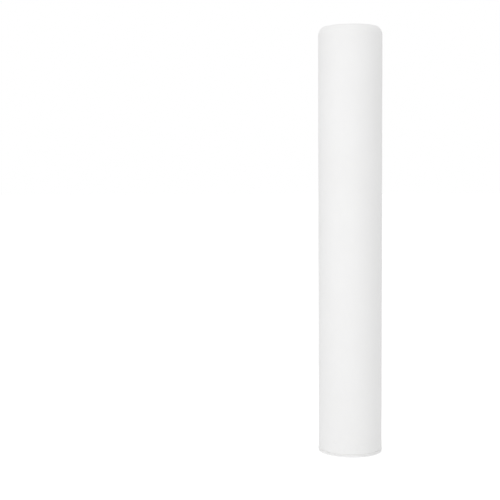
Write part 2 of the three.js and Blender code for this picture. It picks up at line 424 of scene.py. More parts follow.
def ribs_of(tree, distance, scale):
    """Round ribs, so many a metre, from -1 to 1."""
    return maths(tree, "SINE", maths(tree, "MULTIPLY", distance, scale * 2 * math.pi))


def bumped(tree, height, depth, strength=1.0, under=None):
    inputs = {"Height": height, "Distance": depth, "Strength": strength}
    if under is not None:
        inputs["Normal"] = under
    return add(tree, "ShaderNodeBump", inputs).outputs["Normal"]


def vinyl_material(name, level):
    """Smooth satin vinyl: a fine pebble grain, faint creases and an uneven sheen, with edges that are rubbed
    and a foot that gets brushed."""
    material, tree = new_material(name)
    tone = ranged(tree, noise_of(tree, TONE_SCALE, 3), 0.35, 0.65, 0, 1)
    clean = blended_colour(tree, tone, grey(level - 0.012, 0.004), grey(level, 0.002))
    height = add(tree, "ShaderNodeSeparateXYZ", {"Vector": in_space(tree)}).outputs["Z"]
    low_down = ranged(tree, height, 0, SCUFF_HEIGHT, 1, 0)
    marks = ranged(tree, noise_of(tree, SCUFF_SCALE, 6), 0.52, 0.7, 0, 0.35)
    scuff = maths(tree, "MULTIPLY", low_down, marks)
    brushed = blended_colour(tree, scuff, clean, grey(level - 0.06, 0.01))
    pointed = add(tree, "ShaderNodeNewGeometry").outputs["Pointiness"]
    edges = ranged(tree, pointed, 0.53, 0.62, 0, 0.5)
    patches = ranged(tree, noise_of(tree, RUB_SCALE, 5), 0.42, 0.62, 0, 1)
    rubbed = maths(tree, "MULTIPLY", edges, patches)
    colour = blended_colour(tree, rubbed, brushed, grey(level - 0.08, 0.02))
    sheen = ranged(tree, noise_of(tree, SHEEN_SCALE, 4), 0.3, 0.7, 0.47, 0.58)
    dulled = maths(tree, "ADD", sheen, maths(tree, "MULTIPLY", rubbed, 0.3))
    pebbles = bumped(tree, cells_of(tree, PEBBLE_SCALE), PEBBLE_DEPTH, 0.45)
    fine = bumped(tree, noise_of(tree, FINE_GRAIN_SCALE, 2), FINE_GRAIN_DEPTH, 0.35, pebbles)
    creases = bumped(tree, noise_of(tree, CREASE_SCALE, 5), CREASE_DEPTH, 0.22, fine)
    dress(tree, Base_Color=colour, Roughness=dulled, Specular_IOR_Level=0.35, Normal=creases)
    return material


def woven_material(name, level, warmth, threads, depth):
    """A plain weave: two sets of ribs over and under each other, on the piece's own surface map."""
    material, tree = new_material(name)
    split = add(tree, "ShaderNodeSeparateXYZ", {"Vector": on_surface(tree)})
    ribs = [ribs_of(tree, split.outputs[axis], threads / 2) for axis in ("X", "Y")]
    checks = maths(tree, "MULTIPLY", *ribs)
    tone = ranged(tree, checks, -1, 1, 0, 1)
    worn = ranged(tree, noise_of(tree, WEAVE_WEAR_SCALE, 4), 0.3, 0.7, -0.02, 0.02)
    mixed = maths(tree, "ADD", tone, worn)
    colour = blended_colour(tree, mixed, grey(level - 0.07, warmth), grey(level, warmth))
    weave = bumped(tree, tone, depth, 0.6)
    fibres = bumped(tree, noise_of(tree, FIBRE_SCALE, 3), FIBRE_DEPTH, 0.4, weave)
    dress(tree, Base_Color=colour, Roughness=0.82, Specular_IOR_Level=0.25, Normal=fibres)
    dress(tree, Sheen_Weight=0.15, Sheen_Roughness=0.5)
    return material


def foam_material():
    """Closed cell foam: small pores, a soft uneven colour and no shine."""
    material, tree = new_material("foam_cells")
    pores = cells_of(tree, PORE_SCALE)
    tone = ranged(tree, pores, 0.1, 0.7, 0, 1)
    colour = blended_colour(tree, tone, (0.82, 0.79, 0.68, 1), (0.70, 0.66, 0.55, 1))
    rough = bumped(tree, noise_of(tree, FOAM_ROUGH_SCALE, 4), FOAM_ROUGH_DEPTH, 0.5)
    pitted = bumped(tree, pores, PORE_DEPTH, 0.6, rough)
    dress(tree, Base_Color=colour, Roughness=0.95, Specular_IOR_Level=0.15, Normal=pitted)
    return material


def nap_material(name, level, scale, depth):
    """The brushed loops or the moulded hooks of a closure tape, with a little sheen."""
    material, tree = new_material(name)
    fuzz = noise_of(tree, scale, 6)
    tone = ranged(tree, fuzz, 0.35, 0.65, 0, 1)
    colour = blended_colour(tree, tone, grey(level - 0.1, 0.02), grey(level, 0.015))
    curls = bumped(tree, cells_of(tree, scale * 0.8), depth, 0.7)
    tangled = bumped(tree, fuzz, depth, 0.6, curls)
    dress(tree, Base_Color=colour, Roughness=0.9, Specular_IOR_Level=0.2, Normal=tangled)
    dress(tree, Sheen_Weight=0.35, Sheen_Roughness=0.6)
    return material


def thread_material():
    """Bonded polyester thread: plies that wind round it at a slant, and a slight gloss."""
    material, tree = new_material("sewing_thread")
    split = add(tree, "ShaderNodeSeparateXYZ", {"Vector": on_surface(tree)})
    slant = maths(tree, "ADD", split.outputs["X"], split.outputs["Y"])
    twist = ribs_of(tree, slant, 1 / THREAD_LAY)
    tone = ranged(tree, twist, -1, 0.6, 0, 1)
    colour = blended_colour(tree, tone, grey(0.66, 0.02), grey(0.83, 0.015))
    wound = bumped(tree, twist, TWIST_DEPTH, 0.6)
    dress(tree, Base_Color=colour, Roughness=0.5, Normal=wound)
    return material


vinyl = vinyl_material("white_vinyl_grain", level=0.885)
# A lighter copy of the same vinyl for the base ring and piping: painted light, to offset the shade that
# falls on them near the floor.
vinyl_lightened_for_shade = vinyl_material("white_vinyl_lightened_for_shade", level=0.93)
scrim = woven_material("lining_weave", level=0.76, warmth=0.012, threads=1500, depth=0.00012)
foam_cells = foam_material()
loop_nap = nap_material("loop_nap", level=0.8, scale=900, depth=0.0004)
hook_nap = nap_material("hook_plastic", level=0.76, scale=500, depth=0.0001)
thread = thread_material()


# Meshes


def sweep_faces(columns, count, ladder):
    """The faces of a closed outline of count points swept through columns, with the column of each face.
    The outline runs anticlockwise, seen with the radius to the right. ladder closes a thin outline's ends
    with a row of small faces in place of one."""
    faces = []
    for column in range(columns - 1):
        for point in range(count):
            following = (point + 1) % count
            here, there = column * count, (column + 1) * count
            faces.append((column, (here + point, there + point, there + following, here + following)))
    faces += [(-1, face) for face in end_faces(0, count, ladder, False)]
    faces += [(columns - 1, face) for face in end_faces((columns - 1) * count, count, ladder, True)]
    return faces


def end_faces(first, count, ladder, flipped):
    if ladder:
        half = count // 2
        faces = [(i, i + 1, count - 2 - i, count - 1 - i) for i in range(half - 1)]
    else:
        faces = [tuple(range(count))]
    faces = [tuple(first + point for point in face) for face in faces]
    return [tuple(reversed(face)) for face in faces] if flipped else faces


def mesh_from(name, points, faces, material, surface=None):
    """A smooth-shaded mesh object. surface gives each point's place on the piece's own surface map."""
    mesh = bpy.data.meshes.new(name)
    mesh.from_pydata([tuple(point) for point in points], [], faces)
    mesh.materials.append(material)
    mesh.shade_smooth()
    mesh.set_sharp_from_angle(angle=math.radians(SHARP_ANGLE))
    if surface is not None:
        layer = mesh.uv_layers.new(name="surface")
        for loop in mesh.loops:
            layer.data[loop.index].uv = surface[loop.vertex_index]
    return add_object(name, mesh)


def surface_of(rings, radius, angles):
    """Metres round the pad and metres along the outline, for each point of a sweep."""
    surface = []
    for ring, angle in zip(rings, angles):
        run = 0
        for index, point in enumerate(ring):
            if index:
                run += (point - ring[index - 1]).length
            surface.append((arc(angle, radius), run))
    return surface


def sweep(rings, angles, radius, ladder):
    """The points of a closed sweep, its faces with their columns, and its surface map."""
    points = [point for ring in rings for point in ring]
    return points, sweep_faces(len(rings), len(rings[0]), ladder), surface_of(rings, radius, angles)


def swept(name, rings, material, angles, radius, ladder=True):
    """One closed piece from the rings of its sections."""
    points, numbered, surface = sweep(rings, angles, radius, ladder)
    return mesh_from(name, points, [face for _, face in numbered], material, surface)


def swept_and_split(name, rings, material, angles, radius, ladder=True):
    """A layer that goes right round the sleeve, made whole and then parted at SPLIT_ANGLE, where nothing
    moves, into NAME_left and NAME_right. Both keep the whole layer's shading, so no line shows."""
    points, numbered, surface = sweep(rings, angles, radius, ladder)
    count = len(rings[0])
    whole = mesh_from(name, points, [face for _, face in numbered], material, surface)
    shading = [tuple(normal.vector) for normal in whole.data.corner_normals]
    split = angles.index(SPLIT_ANGLE)
    pieces = []
    for side, low, high in (("left", 0, split), ("right", split, len(rings) - 1)):
        kept, normals, corner = [], [], 0
        for column, face in numbered:
            if low <= column < high or (column == -1 and low == 0) or column == high == len(rings) - 1:
                kept.append(tuple(point - low * count for point in face))
                normals += shading[corner : corner + len(face)]
            corner += len(face)
        inner = high - low if side == "left" else 0
        closing = end_faces(inner * count, count, ladder, side == "left")
        part_points = points[low * count : (high + 1) * count]
        for face in closing:
            flat = along(SPLIT_ANGLE) if side == "left" else -along(SPLIT_ANGLE)
            normals += [tuple(flat)] * len(face)
        part_surface = surface[low * count : (high + 1) * count]
        part = mesh_from(f"{name}_{side}", part_points, kept + closing, material, part_surface)
        part.data.normals_split_custom_set(normals)
        pieces.append(part)
    bpy.data.objects.remove(whole)
    return pieces


def wall_angles(step=WALL_STEP, start=-slit_edge, end=slit_edge, fine_edges=True):
    """The angles of a wall's sections. fine_edges puts them close together at edges that are rounded."""
    lines = [index * step for index in range(math.ceil(start / step), math.ceil(end / step))]
    gap = step if fine_edges else step / 3
    lines = [line for line in lines if line - start > gap and line < end - step * 0.99]
    near = [degrees_of(EDGE_ROUND * share, cover.outer) for share in EDGE_SHARES] if fine_edges else []
    return [start, *(start + turn for turn in near), *lines, *(end - turn for turn in near[::-1]), end]


def quarter(centre, width, height, start, end, steps=ARC_STEPS):
    """Points of an ellipse's arc, in radius and height."""
    points = []
    for turn in spaced(start, end, abs(end - start) / steps):
        radians = math.radians(turn)
        points.append((centre[0] + width * math.cos(radians), centre[1] + height * math.sin(radians)))
    return points


def shoulder(outer, top, steps=ARC_STEPS):
    """From the outside up to the crown, for a layer with these outer and top faces."""
    base = cover.top - SHOULDER_HEIGHT
    return quarter((crown_radius, base), outer - crown_radius, top - base, 0, 90, steps)


def inner_roll(inner, top, steps=ARC_STEPS):
    """From the crown down into the bore, for a layer with these inner and top faces."""
    base = cover.top - INNER_ROLL_HEIGHT
    return quarter((crown_radius, base), crown_radius - inner, top - base, 90, 180, steps)


def normals_of(line):
    """The side that a line of radius and height faces: the right-hand side of someone who walks along it."""
    normals = []
    for index in range(len(line)):
        before = Vector(line[max(index - 1, 0)])
        after = Vector(line[min(index + 1, len(line) - 1)])
        run = (after - before).normalized()
        normals.append((run.y, -run.x))
    return normals


# Cloth at rest


def rest_cloth(cut, sewn, held):
    """Where a grid of cloth comes to rest. It starts in the size that it was cut to, and its points are held
    more or less firmly to the places where they are sewn, so that its slack has to go into folds."""
    rows = len(cut[0])
    points = [point for column in cut for point in column]
    faces = []
    for column in range(len(cut) - 1):
        for row in range(rows - 1):
            here, there = column * rows + row, (column + 1) * rows + row
            faces.append((here, there, there + 1, here + 1))
    cloth = mesh_from("resting_cloth", points, faces, vinyl)
    cloth.shape_key_add(name="cut")
    key = cloth.shape_key_add(name="sewn")
    for index, point in enumerate(point for column in sewn for point in column):
        key.data[index].co = point
    for value, number in ((0, 1), (1, CLOTH_FRAMES * 3 // 5)):
        key.value = value
        key.keyframe_insert("value", frame=number)
    group = cloth.vertex_groups.new(name="held")
    for index, weight in enumerate(weight for column in held for weight in column):
        group.add([index], weight, "REPLACE")
    modifier = cloth.modifiers.new("rest", "CLOTH")
    modifier.settings.quality = CLOTH_QUALITY
    modifier.settings.bending_stiffness = CLOTH_BENDING
    modifier.settings.vertex_group_mass = "held"
    modifier.settings.effector_weights.gravity = 0
    modifier.collision_settings.use_collision = False
    modifier.point_cache.frame_start = 1
    modifier.point_cache.frame_end = CLOTH_FRAMES
    for number in range(1, CLOTH_FRAMES + 1):
        bpy.context.scene.frame_set(number)
    moved = cloth.evaluated_get(bpy.context.evaluated_depsgraph_get()).data
    rested = [vertex.co.copy() for vertex in moved.vertices]
    bpy.context.scene.frame_set(1)
    mesh, action = cloth.data, cloth.data.shape_keys.animation_data.action
    bpy.data.objects.remove(cloth)
    bpy.data.meshes.remove(mesh)
    bpy.data.actions.remove(action)
    return [rested[column * rows : (column + 1) * rows] for column in range(len(cut))]


def runs_of(line):
    """How far along a line of radius and height each of its points lies."""
    runs = [0]
    for before, after in zip(line, line[1:]):
        runs.append(runs[-1] + math.dist(before, after))
    return runs


def between(values, value):
    """The place of a value in a rising list: the entry before it, and the share of the way to the next."""
    index = min(max(bisect_right(values, value) - 1, 0), len(values) - 2)
    share = (value - values[index]) / (values[index + 1] - values[index])
    return index, min(1, max(0, share))


def resting_relief(line, held, slack, step, limits):
    """How far a layer's cloth stands out from its plain form once it is at rest, as a function of the angle
    and the run along its section. held says by the run where it is sewn down, and slack how much wider it
    was cut. It is also sewn down at the slit, and elsewhere the foam under it holds it softly."""
    angles = spaced(-slit_edge, slit_edge, step)
    runs = runs_of(line)
    normals = normals_of(line)
    outs, cut, sewn = [], [], []
    for angle in angles:
        out = [outward(angle) * side + Vector((0, 0, up)) for side, up in normals]
        spots = []
        for (radius, height), away in zip(line, out):
            spot = place(angle, radius, height)
            spots.append(spot + away * CLOTH_SEED * noise.noise(spot / CLOTH_SEED_LENGTH))
        wider = [1 + slack(run) for run in runs]
        cut.append([Vector((spot.x * share, spot.y * share, spot.z)) for spot, share in zip(spots, wider)])
        sewn.append(spots)
        outs.append(out)
    last = len(angles) - 1
    holds = []
    for column in range(last + 1):
        holds.append([1 if column in (0, last) or held(run) else FOAM_HOLD for run in runs])
    rested = rest_cloth(cut, sewn, holds)
    moves = []
    for before, after, out in zip(sewn, rested, outs):
        moves.append([(b - a).dot(o) for a, b, o in zip(before, after, out)])
    middles = [sum(row) / len(row) for row in zip(*moves)]
    low, high = limits
    heights = []
    for angle, row in zip(angles, moves):
        free = smooth(0, SLIT_FADE, slit_edge - abs(angle))
        heights.append([min(high, max(low, (move - middle) * free)) for move, middle in zip(row, middles)])

    def relief(angle, run):
        column, across = between(angles, angle)
        row, along_run = between(runs, run)
        near, far = heights[column], heights[column + 1]
        first = near[row] + (near[row + 1] - near[row]) * along_run
        second = far[row] + (far[row + 1] - far[row]) * along_run
        return first + (second - first) * across

    return relief


# Cover


def cover_outside():
    """The cover's straight outside, from its seam with the base up to the shoulder."""
    seam_top = cover.bottom + 4 * SEAM_ROW
    foot_top = cover.bottom + FOOT_BAND
    low = spaced(cover.bottom, seam_top, SEAM_ROW)
    foot = spaced(seam_top, foot_top, FOLD_ROW)
    wall = spaced(foot_top, cover.top - SHOULDER_HEIGHT, WALL_ROW)
    return [(cover.outer, height) for height in joined(low, foot, wall)]


def cover_roll():
    """The cover's inner roll and the skirt below it, from the crown down."""
    roll_base = cover.top - INNER_ROLL_HEIGHT
    skirt = [(cover.inner, height) for height in spaced(roll_base, cover.top - SKIRT_LENGTH, FOLD_ROW)]
    return joined(inner_roll(cover.inner, cover.top), skirt)


def make_cover():
    """The cover in one shell: up the outside, over the top and down the skirt."""
    outside, over, roll = cover_outside(), shoulder(cover.outer, cover.top), cover_roll()
    line = joined(outside, over, roll)
    runs, normals = runs_of(line), normals_of(line)
    foot_heights = spaced(cover.bottom, cover.bottom + FOOT_BAND, FOOT_CLOTH_ROW)
    foot = resting_relief(
        [(cover.outer, height) for height in foot_heights],
        held=lambda run: run == 0 or run > FOOT_BAND * 0.99,
        slack=lambda run: FOOT_SLACK * (1 - smooth(0, FOOT_BAND * 0.8, run)),
        step=WALL_STEP * 2,
        limits=FOOT_LIMITS,
    )
    hem = runs_of(roll)[-1] - HEM_ROW_RISE
    gather = resting_relief(
        roll[::2],
        held=lambda run: run == 0 or run > hem,
        slack=lambda run: ROLL_SLACK * smooth(0, INNER_ROLL_HEIGHT, run),
        step=WALL_STEP * 2,
        limits=ROLL_LIMITS,
    )
    roll_start = runs[len(outside) + len(over) - 2]
    angles = wall_angles()
    rings = []
    for angle in angles:
        from_slit = arc(slit_edge - abs(angle), cover.outer)
        tucked = -EDGE_DROP * max(0, 1 - from_slit / EDGE_ROUND) ** 2
        face, back = [], []
        for (radius, height), (side, up), run in zip(line, normals, runs):
            relief = tucked
            if run >= roll_start:
                down = run - roll_start
                relief += gather(angle, down) * (1 - smooth(hem - HEM_FLAT_FROM, hem - HEM_FLAT_TO, down))
            else:
                relief += FOAM_SWELL * noise.noise(place(angle, radius, height) / FOAM_SWELL_LENGTH)
                relief -= SEAM_DIP * fade(run, SEAM_DIP_REACH)
                relief += SEAM_PUCKER * ripple(angle, SEAM_PUCKER_COUNT) * fade(run, SEAM_PUCKER_REACH)
                relief += foot(angle, run) * (1 - smooth(FOOT_BAND * 0.5, FOOT_BAND, run))
            face.append(place(angle, radius + side * relief, height + up * relief))
            back.append(place(angle, radius - side * COVER_THICKNESS, height - up * COVER_THICKNESS))
        rings.append(face + back[::-1])
    return swept_and_split("vinyl_cover", rings, vinyl, angles, cover.outer)


# Lining, base and piping


def make_lining():
    """The lining, a little slack between its seams."""
    line = [(lining.inner, height) for height in spaced(lining.top, lining.bottom, LINING_ROW)]
    runs = runs_of(line)
    slump = resting_relief(
        line,
        held=lambda run: run < LINING_TOP_HOLD or run == runs[-1],
        slack=lambda run: LINING_SLACK * smooth(LINING_TOP_HOLD, 3 * LINING_TOP_HOLD, run),
        step=WALL_STEP * 4,
        limits=LINING_LIMITS,
    )
    angles = wall_angles(FOAM_STEP)
    rings = []
    for angle in angles:
        face, back = [], []
        for (radius, height), run in zip(line, runs):
            face.append(place(angle, radius - slump(angle, run), height))
            back.append(place(angle, lining.outer, height))
        rings.append(face + back[::-1])
    return swept_and_split("bore_lining", rings, scrim, angles, lining.inner)


def make_base():
    corner = PANEL_CORNER_RADIUS
    flat = [(radius, panel.bottom) for radius in spaced(panel.inner, panel.outer - corner, BASE_ROW)]
    turn = quarter((panel.outer - corner, panel.bottom + corner), corner, corner, -90, 0, 4)
    lip = [(panel.outer, height) for height in spaced(panel.bottom + corner, panel.top, LIP_ROW)]
    line = joined(flat, turn, lip)
    normals = normals_of(line)
    angles = wall_angles()
    rings = []
    for angle in angles:
        face, back = [], []
        for (radius, height), (side, up) in zip(line, normals):
            thickness = PANEL_THICKNESS + (COVER_THICKNESS - PANEL_THICKNESS) * max(0, side)
            pucker = 0
            on_lip = side > 0.99
            if on_lip:
                seam = fade(panel.top - height, LIP_PUCKER_REACH)
                pucker = LIP_PUCKER * ripple(angle, SEAM_PUCKER_COUNT) * seam
            face.append(place(angle, radius + pucker, height))
            back.append(place(angle, radius - side * thickness, height - up * thickness))
        rings.append(face + back[::-1])
    # Drawn in the vinyl painted lighter, to offset the shade near the floor.
    return swept_and_split("base_ring", rings, vinyl_lightened_for_shade, angles, panel.outer)


def make_piping():
    centre = (piping.outer - PIPING_RADIUS, (piping.bottom + piping.top) / 2)
    last = 180 - 360 / PIPING_SIDES
    outline = quarter(centre, PIPING_RADIUS, PIPING_RADIUS, -180, last, PIPING_SIDES - 1)
    angles = wall_angles(fine_edges=False)
    rings = []
    for angle in angles:
        ring = []
        tight = 1 + PIPING_RIPPLE * ripple(angle, PIPING_RIPPLE_COUNT)
        for radius, height in outline:
            reach = centre[0] + (radius - centre[0]) * tight
            ring.append(place(angle, max(piping.inner, reach), height))
        rings.append(ring)
    # Drawn in the vinyl painted lighter, to offset the shade near the floor.
    return swept_and_split("base_piping", rings, vinyl_lightened_for_shade, angles, piping.outer, ladder=False)


# Foam and the slit's facings


def make_foam(name, start, end):
    over = shoulder(foam.outer, foam.top, FOAM_ARC_STEPS)
    down = inner_roll(foam.inner, foam.top, FOAM_ARC_STEPS)
    outside = [(foam.outer, height) for height in spaced(foam.bottom, over[0][1], FOAM_ROW)]
    inside = [(foam.inner, height) for height in spaced(down[-1][1], foam.bottom, FOAM_ROW)]
    outline = joined(outside, over, down, inside)
    angles = wall_angles(FOAM_STEP, start, end, fine_edges=False)
    rings = [[place(angle, radius, height) for radius, height in outline] for angle in angles]
    return swept(name, rings, foam_cells, angles, foam.outer, ladder=False)


def facing_top(radius):
    """The height of the foam's rounded top at this radius."""
    if radius > crown_radius:
        base, width = cover.top - SHOULDER_HEIGHT, foam.outer - crown_radius
    else:
        base, width = cover.top - INNER_ROLL_HEIGHT, crown_radius - foam.inner
    share = min(1, abs(radius - crown_radius) / width)
    return base + (foam.top - base) * math.sqrt(1 - share * share)


def make_facing(name, side):
    """The vinyl over the foam's cut face at the slit, a little full between its sewn edges."""
    inner_width, outer_width = crown_radius - foam.inner, foam.outer - crown_radius
    radii = [crown_radius - inner_width * math.cos(math.radians(turn)) for turn in range(0, 90, 15)]
    radii += [crown_radius + outer_width * math.sin(math.radians(turn)) for turn in range(0, 91, 10)]
    shares = spaced(0, 1, SHEET_ROW)
    rings = []
    for radius in radii:
        face, back = [], []
        edge = min(radius - foam.inner, foam.outer - radius)
        for share in shares:
            height = foam.bottom + (facing_top(radius) - foam.bottom) * share
            full = FACING_FULLNESS * smooth(0, FACING_FULL_FROM, edge)
            full -= FACING_SEAM_DIP * fade(edge, FACING_SEAM_REACH)
            wave = Vector((radius * FACING_WAVES_ACROSS, height * FACING_WAVES_UP, side))
            full += FACING_WAVE * noise.noise(wave)
            rise = degrees_of(full, radius)
            face.append(place(side * (facing.end + rise), radius, height))
            back.append(place(side * facing.start, radius, height))
        rings.append(face + back[::-1])
    piece = swept(name, rings, vinyl, radii, foam.outer)
    turn_out(piece)
    return piece


def turn_out(piece):
    """Turns a closed piece's faces to point outwards."""
    work = bmesh.new()
    work.from_mesh(piece.data)
    bmesh.ops.recalc_face_normals(work, faces=work.faces)
    work.to_mesh(piece.data)
    work.free()
    piece.data.set_sharp_from_angle(angle=math.radians(SHARP_ANGLE))


# Stitching


def stitch(points, faces, surface, centre, direction, out):
    """Adds one stitch: a short thread that rises out of the cloth and goes back in."""
    across = out.cross(direction)
    first = len(points)
    half = STITCH_LENGTH / 2
    points.append(centre - direction * half - out * THREAD_RADIUS)
    surface.append((-half, 0))
    for run, rise, girth in STITCH_SHAPE:
        middle = centre + direction * (half * run) + out * (THREAD_RADIUS * rise)
        for side in range(THREAD_SIDES):
            turn = math.radians(360 / THREAD_SIDES * side)
            reach = across * math.cos(turn) + out * math.sin(turn)
            points.append(middle + reach * (THREAD_RADIUS * girth))
            surface.append((half * run, turn * THREAD_RADIUS))
    last = len(points)
    points.append(centre + direction * half - out * THREAD_RADIUS)
    surface.append((half, 0))
    for side in range(THREAD_SIDES):
        after = (side + 1) % THREAD_SIDES
        faces.append((first, first + 1 + after, first + 1 + side))
        for here in range(first + 1, last - THREAD_SIDES, THREAD_SIDES):
            there = here + THREAD_SIDES
            faces.append((here + side, here + after, there + after, there + side))
        faces.append((last, last - THREAD_SIDES + side, last - THREAD_SIDES + after))


def make_stitches(name, places):
    """One piece for all the stitches of a run. places holds each one's centre, direction and outside."""
    points, faces, surface = [], [], []
    for centre, direction, out in places:
        stitch(points, faces, surface, centre, direction, out)
    return mesh_from(name, points, faces, thread, surface)


def upright_row(angle, radius, bottom, top, side=1):
    """Stitches up a wall. side is -1 on a face that looks towards the pole."""
    out = outward(angle) * side
    rows = spaced(bottom + STITCH_PITCH / 2, top - STITCH_PITCH / 2, STITCH_PITCH)
    return [(place(angle, radius, height), Vector((0, 0, 1)), out) for height in rows]


def level_row(height, radius, start, end, side=1, lift=lambda angle: 0):
    """Stitches round the pad at one height. lift says how far the cloth stands out at an angle."""
    step = degrees_of(STITCH_PITCH, radius)
    turns = spaced(start + step / 2, end - step / 2, step)
    return [(place(turn, radius + lift(turn), height), along(turn), outward(turn) * side) for turn in turns]


# Closure


def flap_columns():
    """Metres along the flap from its start, close together round the corners of its free edge."""
    turns = range(80, -1, -8)
    corner = [flap_width - FLAP_CORNER_RADIUS * (1 - math.cos(math.radians(turn))) for turn in turns]
    return joined(spaced(0, corner[0], SHEET_STEP), corner)


def flap_ends(from_edge):
    """The flap's bottom and top at a distance from its free edge."""
    radius = FLAP_CORNER_RADIUS
    lift = 0
    if from_edge < radius:
        lift = radius - math.sqrt(max(0, radius**2 - (radius - from_edge) ** 2))
    return flap.bottom + lift, flap.top - lift


def flap_angle(distance):
    return flap.start + degrees_of(distance, flap_inner)


def flap_distance(angle):
    return arc(angle - flap.start, flap_inner)


def flap_rows():
    """The flap's upright stitch rows, in metres from its start."""
    tape_start = flap_distance(loops.start) + TAPE_ROW_INSET
    tape_end = flap_distance(loops.end) - TAPE_ROW_INSET
    return [*LAP_ROW_INSETS, tape_start, tape_end]


def from_flap_edge(distance, height):
    """How far in from the flap's bound edges a point lies, round its corners too."""
    across = distance - (flap_width - FLAP_CORNER_RADIUS)
    up = max(height - (flap.top - FLAP_CORNER_RADIUS), flap.bottom + FLAP_CORNER_RADIUS - height)
    return FLAP_CORNER_RADIUS - math.hypot(max(0, across), max(0, up)) - min(0, max(across, up))


def flap_relief(distance, height):
    """How far the flap's outer face stands out: pulled down along its stitch rows, full between them, and
    flat under its binding."""
    rows = flap_rows()
    sunk = groove(distance, rows)
    tape_start, tape_end = rows[-2], rows[-1]
    from_sides = min(distance - tape_start, tape_end - distance)
    from_ends = min(height - loops.bottom, loops.top - height) - TAPE_ROW_INSET
    pillow = smooth(0, FLAP_PILLOW_EDGE, from_sides) * smooth(0, FLAP_PILLOW_EDGE, from_ends)
    spot = Vector((distance / FLAP_RIPPLE_WIDTH, height / FLAP_RIPPLE_LENGTH, FLAP_NOISE_PLACE))
    ripples = FLAP_RIPPLE * max(0, 0.5 + noise.noise(spot)) * (1 - 0.7 * sunk)
    free = smooth(BINDING_WIDTH, BINDING_WIDTH + FLAP_EDGE_FADE, from_flap_edge(distance, height))
    return (FLAP_PILLOW * pillow + ripples) * free - GROOVE_DEPTH * sunk


def flap_lift(height):
    """The flap's relief at one height, as a function of the angle."""
    return lambda angle: flap_relief(flap_distance(angle), height)


def make_flap():
    corner = FLAP_CORNER_RADIUS
    rings, columns = [], flap_columns()
    for distance in columns:
        bottom, top = flap_ends(flap_width - distance)
        up, down = flap.bottom + corner + SHEET_ROW - bottom, flap.top - corner - SHEET_ROW - top
        low = [bottom + up * i / FLAP_CORNER_ROWS for i in range(FLAP_CORNER_ROWS + 1)]
        high = [top + down * i / FLAP_CORNER_ROWS for i in range(FLAP_CORNER_ROWS, -1, -1)]
        middle = spaced(low[-1], high[0], SHEET_ROW)
        heights = joined(low, middle, high)
        angle = flap_angle(distance)
        face = [place(angle, flap.outer + flap_relief(distance, height), height) for height in heights]
        back = [place(angle, flap_inner, height) for height in heights]
        rings.append(face + back[::-1])
    return swept("flap_panel", rings, vinyl, [flap_angle(column) for column in columns], flap.outer)


def binding_path(inset):
    """Points and inward directions along the flap's top, free and bottom edges, in metres from the flap's
    start and in height, that far in from the edge."""
    start = flap_distance(loops.start)
    radius = FLAP_CORNER_RADIUS
    across, low, high = flap_width - radius, flap.bottom + radius, flap.top - radius

    def corner(first, last, up):
        places = []
        for turn in spaced(first, last, BINDING_TURN):
            x, z = math.cos(math.radians(turn)), math.sin(math.radians(turn))
            places.append(((across + radius * x, up + radius * z), (-x, -z)))
        return places

    path = [((distance, flap.top), (0, -1)) for distance in spaced(start, across, BINDING_STEP)[:-1]]
    path += corner(90, 0, high)
    path += [((flap_width, height), (-1, 0)) for height in spaced(high, low, SHEET_ROW)[1:-1]]
    path += corner(0, -90, low)
    path += [((distance, flap.bottom), (0, 1)) for distance in spaced(across, start, BINDING_STEP)[1:]]
    return [((x + dx * inset, z + dz * inset), (dx, dz)) for (x, z), (dx, dz) in path]


def binding_section():
    """The folded binding's outline: how far in from the flap's edge, and the radius."""
    middle = (flap_inner + flap.outer) / 2
    outer = (flap.outer - flap_inner) / 2 + SEAM_GAP + BINDING_THICKNESS
    inner = outer - BINDING_THICKNESS
    fold = SEAM_GAP
    section = [(BINDING_WIDTH, middle - outer)]
    section += quarter((fold, middle), fold + BINDING_FOLD, outer, 270, 90, 8)
    section += [(BINDING_WIDTH, middle + outer), (BINDING_WIDTH, middle + inner)]
    section += quarter((fold, middle), fold + BINDING_INNER_FOLD, inner, 90, 270, 8)
    section += [(BINDING_WIDTH, middle - inner)]
    return section


def make_binding():
    section = binding_section()
    rings = []
    for (distance, height), (dx, dz) in binding_path(0):
        ring = []
        spot = Vector((distance * BINDING_WAVE_SCALE, height * BINDING_WAVE_SCALE, BINDING_NOISE_PLACE))
        wave = BINDING_WAVE * max(0, noise.noise(spot))
        for reach, radius in section:
            lifted = radius + (wave if radius > flap.outer else 0)
            ring.append(place(flap_angle(distance + dx * reach), lifted, height + dz * reach))
        rings.append(ring)
    angles = [index * BINDING_MAP_STEP for index in range(len(rings))]
    piece = swept("flap_edge_binding", rings, vinyl, angles, flap.outer, ladder=False)
    turn_out(piece)
    return piece


def path_stitches(path, radius, side):
    """Stitches along a path of the flap's sheet."""
    spots = [place(flap_angle(x), radius, z) for (x, z), _ in path]
    angles = [flap_angle(x) for (x, _), _ in path]
    lengths = [(after - before).length for before, after in zip(spots, spots[1:])]
    total = sum(lengths)
    places, index, passed = [], 0, 0
    for target in spaced(STITCH_PITCH / 2, total - STITCH_PITCH / 2, STITCH_PITCH):
        while passed + lengths[index] < target:
            passed += lengths[index]
            index += 1
        share = (target - passed) / lengths[index]
        centre = spots[index].lerp(spots[index + 1], share)
        direction = (spots[index + 1] - spots[index]).normalized()
        angle = angles[index] + (angles[index + 1] - angles[index]) * share
        places.append((centre, direction, outward(angle) * side))
    return places


def web_radius(angle):
    """The radius of the hinge sheet's inner face: low at its seam, then up to pass under the flap."""
    low = strip.inner
    high = web.outer - WEB_THICKNESS
    ramp_start = web.start + degrees_of(WEB_FLAT_WIDTH, low)
    return low + (high - low) * smooth(ramp_start, 180, angle)


